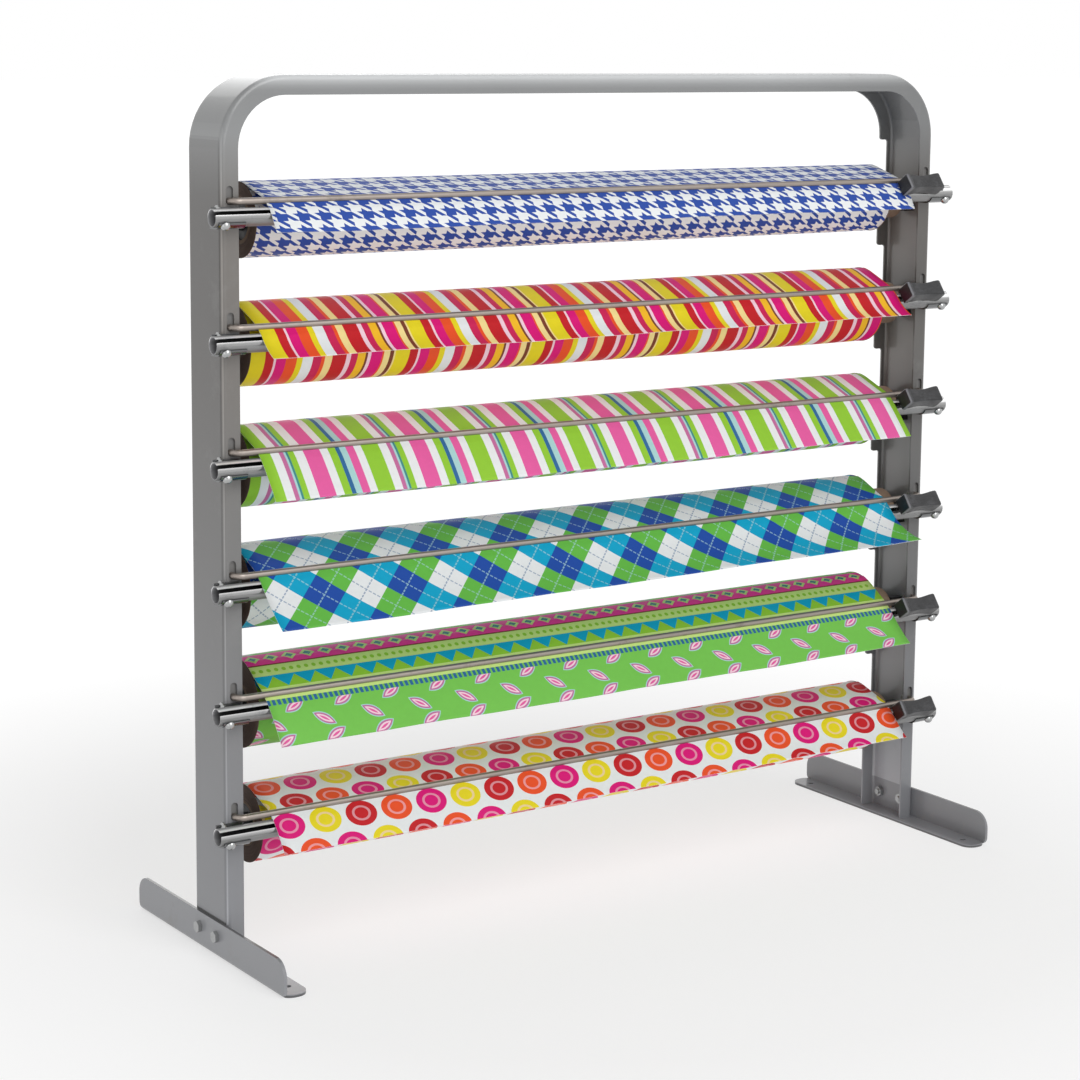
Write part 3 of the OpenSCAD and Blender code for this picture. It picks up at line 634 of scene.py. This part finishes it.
def paper_finish(level, colours):
    """Coated paper with a print, faint fibres and a soft gloss."""
    material, tree, shader = start_material(f"paper_print_{level}")
    wrap = tree.nodes.new("ShaderNodeUVMap")
    wrap.uv_map = "wrap"
    split = tree.nodes.new("ShaderNodeSeparateXYZ")
    tree.links.new(wrap.outputs[0], split.inputs[0])
    u, v = Field(tree, split.outputs[0]), Field(tree, split.outputs[1])
    place, _ = object_place(tree)
    shade, fibres = grain(tree, place, 180.0, 0.05)
    feed(shaded(PRINTS[level - 1](u, v, colours), shade), shader.inputs["Base Color"])
    feed(fibres * 0.12 + 0.46, shader.inputs["Roughness"])
    shader.inputs["Specular IOR Level"].default_value = 0.22
    bump(shader, fibres, 0.05, 0.0002)
    return material


def back_finish(tint):
    """Uncoated underside of the paper."""
    material, tree, shader = start_material("paper_back", roughness=0.75)
    place, _ = object_place(tree)
    shade, fibres = grain(tree, place, 320.0, 0.05)
    feed(shaded(tint, shade), shader.inputs["Base Color"])
    bump(shader, fibres, 0.08, 0.0002)
    return material


def shared(name, maker, *values):
    """A material by name, made on first use."""
    return bpy.data.materials.get(name) or maker(*values)


def paper_material(level, colours):
    return shared(f"paper_print_{level}", paper_finish, level, colours)


def dress(material, *nodes):
    """Gives CAD nodes a finish."""
    for name in nodes:
        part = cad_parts[name]
        if not part.material_slots:
            part.data.materials.append(material)
        for slot in part.material_slots:
            slot.material = material


# Mesh helpers

def add_piece(name, bm, materials, body, slot, *replaced):
    """Makes an object from a bmesh, fixes it to a body and lets it stand for CAD nodes."""
    mesh = bpy.data.meshes.new(name)
    bm.to_mesh(mesh)
    bm.free()
    for material in materials:
        mesh.materials.append(material)
    piece = bpy.data.objects.new(name, mesh)
    bpy.context.scene.collection.objects.link(piece)
    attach(piece, body)
    if replaced:
        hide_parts(*replaced)
    return piece


def round_edges(bm, edges, radius, steps):
    bmesh.ops.bevel(bm, geom=edges, offset=radius, segments=steps, profile=0.5, affect="EDGES", material=-1)


def outward(angle):
    """Unit vector in the plane across the rolls, turned from straight up to the front."""
    return Vector((0, -math.sin(angle), math.cos(angle)))


def arc(centre, radius, start, end, steps):
    return [centre + radius * outward(start + (end - start) * i / steps) for i in range(steps + 1)]


def chain(bm, points):
    """Vertices through points, joined by edges."""
    verts = [bm.verts.new(point) for point in points]
    edges = [bm.edges.new(pair) for pair in zip(verts, verts[1:])]
    return verts, edges


def across_rack(node):
    """Middle of a CAD node's box, moved to x = 0."""
    return middle(node) * Vector((0, 1, 1))


def roll_place(level):
    """A roll's left and right ends, a point of its axis at x = 0, and its radius."""
    node = f"paper_roll_{level}"
    low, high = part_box(node)
    return low.x, high.x, across_rack(node), half_size(node).z


def print_turn(level, radius):
    """Paper length per turn of a roll: for the houndstooth and the argyle a whole number of the print's repeats, else
    the girth.
    """
    repeat = {1: CHECK_HIGH, 4: 2 * DIAMOND}.get(level)
    girth = 2 * math.pi * radius
    return round(girth / repeat) * repeat if repeat else girth


class GIFTRACK_OT_paint_frame(bpy.types.Operator):
    """Paint the bent channel and its feet"""
    bl_idname = "giftrack.paint_frame"
    bl_label = "Paint Frame"

    def execute(self, context):
        tint = context.scene.rack_colours.frame_paint
        dress(shared("satin_frame_paint", paint_finish, tint), "frame_channel", "foot_left", "foot_right")
        return {"FINISHED"}


class GIFTRACK_OT_plate_tracks(bpy.types.Operator):
    """Plate the tracks and their brackets"""
    bl_idname = "giftrack.plate_tracks"
    bl_label = "Plate Tracks"

    def execute(self, context):
        chrome = shared("bright_chrome", chrome_finish, context.scene.rack_colours.chrome)
        dress(chrome, "track_brackets", *[f"cutter_track_{n}" for n in LEVELS])
        return {"FINISHED"}


class GIFTRACK_OT_finish_fasteners(bpy.types.Operator):
    """Finish the bolts, nuts, rivets and stop screws, and add the screws' far ends"""
    bl_idname = "giftrack.finish_fasteners"
    bl_label = "Finish Fasteners"

    def execute(self, context):
        zinc = steel_finish("zinc_plate", context.scene.rack_colours.zinc, 0.28, (300.0, 300.0, 300.0))
        dress(zinc, "foot_bolts", "foot_nuts", "bracket_rivets", "stop_nuts")
        domes = steel_finish("polished_domes", context.scene.rack_colours.zinc, 0.14, (60.0, 60.0, 60.0), 0.8)
        dress(domes, "stop_screws")
        self.screw_ends(domes)
        return {"FINISHED"}

    def screw_ends(self, steel):
        """The stop screws' ends with their lock nuts, opposite the domes."""
        # Radius and distance from the track, in millimetres
        outline = ((0, -0.7), (3.0, -0.7), (3.0, 1.7), (2.5, 2.1), (2.0, 2.2), (2.0, 5.4), (1.5, 6.1), (0, 6.3))
        bm = bmesh.new()
        for level in LEVELS:
            for x in (-STOP_X, STOP_X):
                centre = across_rack(f"cutter_track_{level}") + Vector((x, 0, 0))
                place = Matrix.Translation(centre) @ Matrix.Rotation(SCREW_TILT, 4, "X")
                verts, edges = chain(bm, [place @ Vector((r * MM, 0, TRACK_R + h * MM)) for r, h in outline])
                bmesh.ops.spin(bm, geom=verts + edges, cent=centre, axis=outward(SCREW_TILT), angle=2 * math.pi,
                               steps=24, use_merge=True)
        bmesh.ops.remove_doubles(bm, verts=bm.verts, dist=1e-6)
        bmesh.ops.recalc_face_normals(bm, faces=bm.faces)
        add_piece("stop_screw_ends", bm, [steel], "rack", "track_chrome")


class GIFTRACK_OT_finish_bars(bpy.types.Operator):
    """Finish the hold-down bars and the blades"""
    bl_idname = "giftrack.finish_bars"
    bl_label = "Finish Bars And Blades"

    def execute(self, context):
        colours = context.scene.rack_colours
        bars = bar_finish(colours.bar_steel, colours.frame_paint)
        blades = steel_finish("ground_steel", colours.blade_steel, 0.16, (40.0, 40.0, 1200.0), 0.8)
        dress(bars, *[f"hold_bar_{n}" for n in LEVELS])
        dress(blades, *[f"cutter_blade_{n}" for n in LEVELS])
        return {"FINISHED"}


class GIFTRACK_OT_finish_cores(bpy.types.Operator):
    """Finish the cardboard cores, their plugs and the cradles"""
    bl_idname = "giftrack.finish_cores"
    bl_label = "Finish Cores"

    def execute(self, context):
        colours = context.scene.rack_colours
        dress(board_finish(colours.core_board), *[f"roll_core_{n}" for n in LEVELS])
        nylon = plastic_finish("black_nylon", colours.black_nylon, 0.42, 160.0)
        dress(nylon, "roll_cradles", *[f"roll_plugs_{n}" for n in LEVELS])
        return {"FINISHED"}


class GIFTRACK_OT_wind_rolls(bpy.types.Operator):
    """Wind the six paper rolls"""
    bl_idname = "giftrack.wind_rolls"
    bl_label = "Wind Rolls"

    def execute(self, context):
        colours = context.scene.rack_colours
        winding = shared("winding_edge", winding_finish, colours.winding)
        for level in LEVELS:
            self.wind(level, context.scene.rack_sizes, [paper_material(level, colours), winding])
        return {"FINISHED"}

    def end_face(self, side, inner, outer, edge, level):
        """Profile of an end face from the core outwards, with the slight steps of uneven winding."""
        points = []
        rings = 14
        for i in range(rings + 1):
            radius = inner + (outer - edge - inner) * i / rings
            step = 0.25 * MM * (1 + math.sin(i * 2.4 + level * 1.7)) * (1 - (2 * i / rings - 1) ** 4)
            points.append(Vector((side + (step if side < 0 else -step), 0, radius)))
        for i in range(1, 4):
            turn = math.pi / 2 * i / 3
            inset = edge * (1 - math.sin(turn))
            rise = edge * (1 - math.cos(turn))
            points.append(Vector((side + (edge - inset if side < 0 else inset - edge), 0, outer - rise)))
        return points

    def wind(self, level, sizes, materials):
        left, right, axis, radius = roll_place(level)
        inner = half_size(f"roll_core_{level}").z + 0.05 * MM
        bm = bmesh.new()
        first = self.end_face(left, inner, radius, sizes.roll_edge, level)
        last = self.end_face(right, inner, radius, sizes.roll_edge, level + 3)
        body = [Vector((left + (right - left) * i / 12, 0, radius)) for i in range(1, 12)]
        verts, edges = chain(bm, first + body + last[::-1])
        edges.append(bm.edges.new((verts[-1], verts[0])))
        bmesh.ops.translate(bm, verts=verts, vec=axis)
        bmesh.ops.spin(bm, geom=verts + edges, cent=axis, axis=(1, 0, 0), angle=2 * math.pi, steps=120,
                       use_merge=True)
        bmesh.ops.remove_doubles(bm, verts=bm.verts, dist=1e-6)
        bmesh.ops.recalc_face_normals(bm, faces=bm.faces)
        wrap = bm.loops.layers.uv.new("wrap")
        turn = print_turn(level, radius)
        for face in bm.faces:
            face.smooth = True
            middle = face.calc_center_median() - axis
            centre = math.atan2(-middle.y, middle.z)
            if abs(face.normal.x) > 0.5 or middle.yz.length < radius - 2 * sizes.roll_edge:
                face.material_index = 1
            for loop in face.loops:
                spot = loop.vert.co - axis
                angle = math.atan2(-spot.y, spot.z)
                angle = centre + math.remainder(angle - centre, 2 * math.pi)
                loop[wrap].uv = (loop.vert.co.x, angle / (2 * math.pi) * turn)
        add_piece(f"wound_paper_{level}", bm, materials, f"roll_{level}", f"paper_{level}", f"paper_roll_{level}")


class GIFTRACK_OT_lay_sheets(bpy.types.Operator):
    """Lay the six loose paper ends under their bars and over their tracks"""
    bl_idname = "giftrack.lay_sheets"
    bl_label = "Lay Loose Ends"

    def execute(self, context):
        colours = context.scene.rack_colours
        back = shared("paper_back", back_finish, colours.paper_white)
        for level in LEVELS:
            self.lay(level, context.scene.rack_sizes, [paper_material(level, colours), back])
        return {"FINISHED"}

    def route(self, level, sizes):
        """Points of the sheet's outer side across the rack, how many lie before the free end, and where it starts."""
        _, _, axis, radius = roll_place(level)
        track = across_rack(f"cutter_track_{level}")
        bar = across_rack(f"hold_bar_{level}")
        bar.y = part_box(f"hold_bar_{level}")[0].y + sizes.bar_radius
        off = sizes.paper_standoff
        to_bar = bar - axis
        roll_tilt = math.atan2(-to_bar.y, to_bar.z) - math.acos(
            (radius + sizes.bar_radius + 2 * off) / to_bar.length)
        from_track = bar - track
        bar_tilt = math.atan2(-from_track.y, from_track.z) + math.acos(
            (TRACK_R + sizes.bar_radius + 2 * off) / from_track.length)
        hug = TRACK_R + off
        slope, droop = sizes.flap_slope[level - 1], sizes.flap_droop[level - 1]
        root = track + hug * outward(slope)
        bend = (sizes.flap_length[level - 1] + hug * (FLAP_TILT - slope)) / droop
        wrap, ease = math.radians(15), math.radians(6)
        start = radius + sizes.paper_thickness + 0.1 * MM
        points = arc(axis, start, roll_tilt - wrap, roll_tilt - ease, 4)
        points += [axis + (radius + off) * outward(roll_tilt)]
        points += arc(bar, -sizes.bar_radius - off, roll_tilt, bar_tilt, 4)
        points += arc(track, hug, bar_tilt, slope, 7)
        held = len(points)
        points += arc(root - bend * outward(slope), bend, slope, slope + droop, 16)[1:]
        return points, held, roll_tilt - wrap

    def lay(self, level, sizes, materials):
        left, right, axis, radius = roll_place(level)
        points, held, start = self.route(level, sizes)
        bm = bmesh.new()
        along = bm.verts.layers.float.new("along")
        free = bm.verts.layers.float.new("free")
        verts, edges = chain(bm, [point + Vector((left, 0, 0)) for point in points])
        walked = start / (2 * math.pi) * print_turn(level, radius)
        flap = sum((b - a).length for a, b in zip(points[held:], points[held + 1:]))
        loose = 0.0
        for i, vert in enumerate(verts):
            step = (points[i] - points[i - 1]).length if i else 0.0
            walked += step
            loose += step if i > held else 0.0
            vert[along] = walked
            vert[free] = loose / flap
        columns = 56
        bmesh.ops.spin(bm, geom=verts + edges, cent=axis, axis=(1, 0, 0), angle=0, steps=columns,
                       dvec=((right - left) / columns, 0, 0))
        bmesh.ops.remove_doubles(bm, verts=bm.verts, dist=1e-6)
        for face in bm.faces:
            if face.normal.dot(outward(math.radians(30))) < 0:
                face.normal_flip()
            face.smooth = True
        wrap = bm.loops.layers.uv.new("wrap")
        for face in bm.faces:
            for loop in face.loops:
                loop[wrap].uv = (loop.vert.co.x, loop.vert[along])
        self.ripple(bm, free, left, right, sizes, level)
        sheet = add_piece(f"loose_paper_{level}", bm, materials, "rack", f"paper_{level}", f"paper_sheet_{level}")
        wall = sheet.modifiers.new("thickness", "SOLIDIFY")
        wall.thickness = sizes.paper_thickness
        wall.offset = -1
        wall.material_offset = 1
        wall.material_offset_rim = 1

    def ripple(self, bm, free, left, right, sizes, level):
        """Lifts the free end's corners and gives its edge a slight wave."""
        rise = outward(math.radians(45))
        for vert in bm.verts:
            share = vert[free]
            across = (vert.co.x - left) / (right - left)
            wave = math.sin(across * 17.0 + level * 2.1) + 0.6 * math.sin(across * 41.0 + level)
            low, high = sizes.left_lift[level - 1], sizes.right_lift[level - 1]
            lift = low + (high - low) * across ** 1.4
            vert.co += rise * (lift * share ** 2 + sizes.flap_wave * wave * share ** 3)


class GIFTRACK_OT_shape_cutters(bpy.types.Operator):
    """Shape the six cutter bodies, each with its neck and runner"""
    bl_idname = "giftrack.shape_cutters"
    bl_label = "Shape Cutters"

    def execute(self, context):
        sizes = context.scene.rack_sizes
        plastic = cutter_finish(context.scene.rack_colours.cutter_plastic)
        for level in LEVELS:
            self.shape(level, sizes, plastic)
        return {"FINISHED"}

    def shape(self, level, sizes, plastic):
        centre = across_rack(f"cutter_track_{level}")
        centre.x = middle(f"cutter_body_{level}").x
        bm = bmesh.new()
        self.body(bm, sizes)
        self.neck(bm, sizes)
        self.runner(bm, sizes)
        # Local Z becomes the slot's direction
        place = Matrix.Translation(centre) @ Matrix.Rotation(SLOT_TILT, 4, "X")
        bmesh.ops.transform(bm, matrix=place, verts=bm.verts)
        add_piece(f"cutter_shell_{level}", bm, [plastic], f"cutter_{level}", "cutter_plastic",
                  f"cutter_body_{level}")

    def body(self, bm, sizes):
        """A square bar with a flared leading plate, a saddle for the finger and a rounded trailing end."""
        side, run = sizes.cutter_side, sizes.cutter_length
        block = bmesh.ops.create_cube(bm, size=1)["verts"]
        bmesh.ops.scale(bm, vec=(run, side, side), verts=block)
        trailing = [e for e in bm.edges if all(v.co.x > 0 for v in e.verts) and
                    abs(e.verts[0].co.y - e.verts[1].co.y) > side / 2]
        round_edges(bm, trailing, sizes.cutter_end, 6)
        rims = [e for e in bm.edges if e.calc_face_angle(0) > math.radians(60)]
        round_edges(bm, rims, sizes.cutter_edge, 4)
        cuts = [-0.41, -0.385, -0.36] + [-0.3 + 0.06 * i for i in range(11)]
        for cut in cuts:
            bmesh.ops.bisect_plane(bm, geom=bm.verts[:] + bm.edges[:] + bm.faces[:], plane_co=(cut * run, 0, 0),
                                   plane_no=(1, 0, 0), dist=1e-6)
        for vert in bm.verts:
            place = vert.co.x / run
            waist = max(0.0, math.cos((place + 0.02) / 0.38 * math.pi / 2)) if -0.4 < place < 0.36 else 0.0
            slim = 1 - sizes.cutter_waist * max(waist, 0.45 if -0.4 < place < -0.2 else 0.0)
            vert.co.y *= slim
            vert.co.z *= slim
        bmesh.ops.translate(bm, verts=bm.verts, vec=(0, 0, sizes.cutter_standoff + side / 2))
        # Painted light for the finish: tone 0 paints shade on the leading end face, 1 a highlight on its rim, 0.35 the
        # plain body.
        tone = bm.verts.layers.float.new("tone")
        rim = sizes.cutter_edge / run
        for vert in bm.verts:
            place = vert.co.x / run + 0.5
            vert[tone] = 0.0 if place < rim / 9 else 1.0 if place < 2.5 * rim else 0.35
        for face in bm.faces:
            face.smooth = face.calc_area() < side * side / 3

    def neck(self, bm, sizes):
        block = bmesh.ops.create_cube(bm, size=1)["verts"]
        tall = sizes.cutter_standoff + 4 * MM
        bmesh.ops.scale(bm, vec=(sizes.neck_length, sizes.neck_thickness, tall), verts=block)
        bmesh.ops.translate(bm, vec=(-3 * MM, 0, tall / 2), verts=block)

    def runner(self, bm, sizes):
        turned = Matrix.Rotation(math.pi / 2, 4, "Y")
        rod = bmesh.ops.create_cone(bm, cap_ends=True, segments=48, radius1=sizes.runner_radius,
                                    radius2=sizes.runner_radius, depth=sizes.runner_length, matrix=turned)["verts"]
        rims = {e for v in rod for e in v.link_edges if abs(e.verts[0].co.x - e.verts[1].co.x) < 1e-6}
        round_edges(bm, list(rims), sizes.runner_edge, 3)


# Name, place, diameter in metres and power in watts
SOFTBOXES = (("key_softbox", (0.0, -2.6, 2.6), 2.4, 47), ("low_softbox", (-0.4, -3.4, 1.3), 2.6, 10),
             ("left_softbox", (-3.2, -0.9, 0.5), 2.0, 6), ("back_softbox", (0.6, 3.0, 1.9), 2.4, 16))


class GIFTRACK_OT_set_stage(bpy.types.Operator):
    """Set up the floor, the light and the camera"""
    bl_idname = "giftrack.set_stage"
    bl_label = "Set Stage"

    def execute(self, context):
        self.floor(context)
        self.world(context)
        for softbox in SOFTBOXES:
            self.lamp(context, *softbox)
        self.camera(context)
        context.scene.view_settings.view_transform = "Standard"
        return {"FINISHED"}

    def floor(self, context):
        """A pale floor that fades to the white of the background away from the rack."""
        bm = bmesh.new()
        bmesh.ops.create_grid(bm, x_segments=8, y_segments=8, size=40)
        mesh = bpy.data.meshes.new("floor")
        bm.to_mesh(mesh)
        bm.free()
        material, tree, shader = start_material("pale_floor", roughness=0.9)
        _, (x, y, _) = object_place(tree)
        far = ((x.length_with(y) - 0.5) / 1.8).either(0.0).least(0.4) + 0.6
        feed(mixed(far, (0.93, 0.93, 0.93), (0, 0, 0)), shader.inputs["Base Color"])
        feed(mixed(far, (0, 0, 0), (1, 1, 1)), shader.inputs["Emission Color"])
        shader.inputs["Emission Strength"].default_value = 1.0
        mesh.materials.append(material)
        floor = bpy.data.objects.new("floor", mesh)
        context.scene.collection.objects.link(floor)

    def world(self, context):
        """White where a camera, glossy or transmission ray sees it, and dimmer as a light."""
        world = bpy.data.worlds.new("studio")
        context.scene.world = world
        world.use_nodes = True
        tree = world.node_tree
        tree.nodes.clear()
        rays = tree.nodes.new("ShaderNodeLightPath")
        seen = Field(tree, rays.outputs["Is Camera Ray"]).either(Field(tree, rays.outputs["Is Glossy Ray"]))
        seen = seen.either(Field(tree, rays.outputs["Is Transmission Ray"]))
        back = tree.nodes.new("ShaderNodeBackground")
        feed((1, 1, 1), back.inputs["Color"])
        feed(seen * 0.64 + 0.36, back.inputs["Strength"])
        output = tree.nodes.new("ShaderNodeOutputWorld")
        tree.links.new(back.outputs[0], output.inputs[0])

    def lamp(self, context, name, place, size, watts):
        light = bpy.data.lights.new(name, "AREA")
        light.shape = "DISK"
        light.size = size
        light.energy = watts
        lamp = bpy.data.objects.new(name, light)
        lamp.location = place
        lamp.rotation_euler = (Vector((0, 0, 0.4)) - Vector(place)).to_track_quat("-Z", "Y").to_euler()
        context.scene.collection.objects.link(lamp)

    def camera(self, context):
        """The photograph's viewing angle: turn, rise, tilt and distance about a point on the rack."""
        turn, rise, tilt = math.radians(-34.02), math.radians(8.52), math.radians(0.52)
        aim, distance = Vector((-0.0563, 0, 0.4706)), 2.6335
        back = Vector((math.sin(turn) * math.cos(rise), -math.cos(turn) * math.cos(rise), math.sin(rise)))
        right = Vector((0, 0, 1)).cross(back).normalized()
        up = back.cross(right)
        right, up = right * math.cos(tilt) + up * math.sin(tilt), up * math.cos(tilt) - right * math.sin(tilt)
        lens = bpy.data.cameras.new("camera")
        lens.lens = 88.06
        lens.sensor_width = 36
        lens.shift_y = -0.1023
        camera = bpy.data.objects.new("camera", lens)
        camera.matrix_world = Matrix((right, up, back)).transposed().to_4x4()
        camera.location = aim + back * distance
        context.scene.collection.objects.link(camera)
        context.scene.camera = camera


OPERATORS = (GIFTRACK_OT_paint_frame, GIFTRACK_OT_plate_tracks, GIFTRACK_OT_finish_fasteners,
             GIFTRACK_OT_finish_bars, GIFTRACK_OT_finish_cores, GIFTRACK_OT_wind_rolls, GIFTRACK_OT_lay_sheets,
             GIFTRACK_OT_shape_cutters, GIFTRACK_OT_set_stage)


class GIFTRACK_PT_sidebar(bpy.types.Panel):
    """Steps, sizes and colours of the rack"""
    bl_idname = "GIFTRACK_PT_sidebar"
    bl_label = "Gift Wrap Rack"
    bl_space_type = "VIEW_3D"
    bl_region_type = "UI"
    bl_category = "Gift Wrap Rack"

    def draw(self, context):
        for operator in OPERATORS:
            self.layout.operator(operator.bl_idname)
        for group in (context.scene.rack_sizes, context.scene.rack_colours):
            for name in group.bl_rna.properties.keys():
                if name not in ("rna_type", "name"):
                    self.layout.prop(group, name)


CLASSES = (RackSizes, RackColours, *OPERATORS, GIFTRACK_PT_sidebar)


def register():
    for cls in CLASSES:
        bpy.utils.register_class(cls)
    bpy.types.Scene.rack_sizes = PointerProperty(type=RackSizes)
    bpy.types.Scene.rack_colours = PointerProperty(type=RackColours)


def unregister():
    del bpy.types.Scene.rack_colours
    del bpy.types.Scene.rack_sizes
    for cls in reversed(CLASSES):
        bpy.utils.unregister_class(cls)


def main():
    register()
    bpy.ops.giftrack.paint_frame()
    bpy.ops.giftrack.plate_tracks()
    bpy.ops.giftrack.finish_fasteners()
    bpy.ops.giftrack.finish_bars()
    bpy.ops.giftrack.finish_cores()
    bpy.ops.giftrack.wind_rolls()
    bpy.ops.giftrack.lay_sheets()
    bpy.ops.giftrack.shape_cutters()
    bpy.ops.giftrack.set_stage()


if __name__ == "__main__":
    main()
